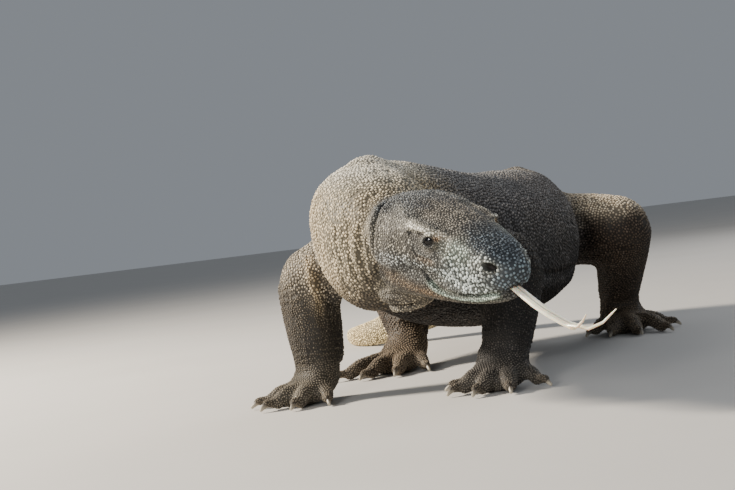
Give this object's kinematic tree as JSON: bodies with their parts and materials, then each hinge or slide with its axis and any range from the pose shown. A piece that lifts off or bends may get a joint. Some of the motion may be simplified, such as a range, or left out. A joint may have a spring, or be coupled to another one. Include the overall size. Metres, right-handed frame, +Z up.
{
  "type": "komodo dragon, life-size still model",
  "caption": "Life-size walking Komodo dragon with neck arched, head turned to its left, forked tongue out and tail in an S curve; a still display model.",
  "frame": {"origin": "middle of the underside of the box, on the floor it stands on", "axes": "+Z up, tail towards +Y, snout towards -Y, the animal's left side towards +X"},
  "size_m": [0.8666, 2.0372, 0.3578],
  "materials": {
    "head_hide": "beaded scales, slate grey and brown with pale dots",
    "body_hide": "beaded scales, charcoal brown with sandy neck",
    "limb_hide": "beaded scales, grey brown",
    "tail_hide": "beaded scales, paler brown",
    "claw": "smooth horn grey",
    "eye": "wet gloss, dark brown",
    "tongue": "moist, cream yellow"
  },
  "bodies": {
    "root": {"head": "head_hide", "lower_jaw": "head_hide", "eye_left": "eye", "eye_right": "eye", "tongue": "tongue", "neck": "body_hide", "trunk": "body_hide", "hips": "body_hide", "tail_base": "tail_hide", "tail_middle": "tail_hide", "tail_tip": "tail_hide", "upper_arm_right": "limb_hide", "forearm_right": "limb_hide", "hand_right": "limb_hide", "claw_hand_right_1": "claw", "claw_hand_right_2": "claw", "claw_hand_right_3": "claw", "claw_hand_right_4": "claw", "claw_hand_right_5": "claw", "upper_arm_left": "limb_hide", "forearm_left": "limb_hide", "hand_left": "limb_hide", "claw_hand_left_1": "claw", "claw_hand_left_2": "claw", "claw_hand_left_3": "claw", "claw_hand_left_4": "claw", "claw_hand_left_5": "claw", "thigh_right": "limb_hide", "shank_right": "limb_hide", "foot_right": "limb_hide", "claw_foot_right_1": "claw", "claw_foot_right_2": "claw", "claw_foot_right_3": "claw", "claw_foot_right_4": "claw", "claw_foot_right_5": "claw", "thigh_left": "limb_hide", "shank_left": "limb_hide", "foot_left": "limb_hide", "claw_foot_left_1": "claw", "claw_foot_left_2": "claw", "claw_foot_left_3": "claw", "claw_foot_left_4": "claw", "claw_foot_left_5": "claw"}
  },
  "joints": []
}
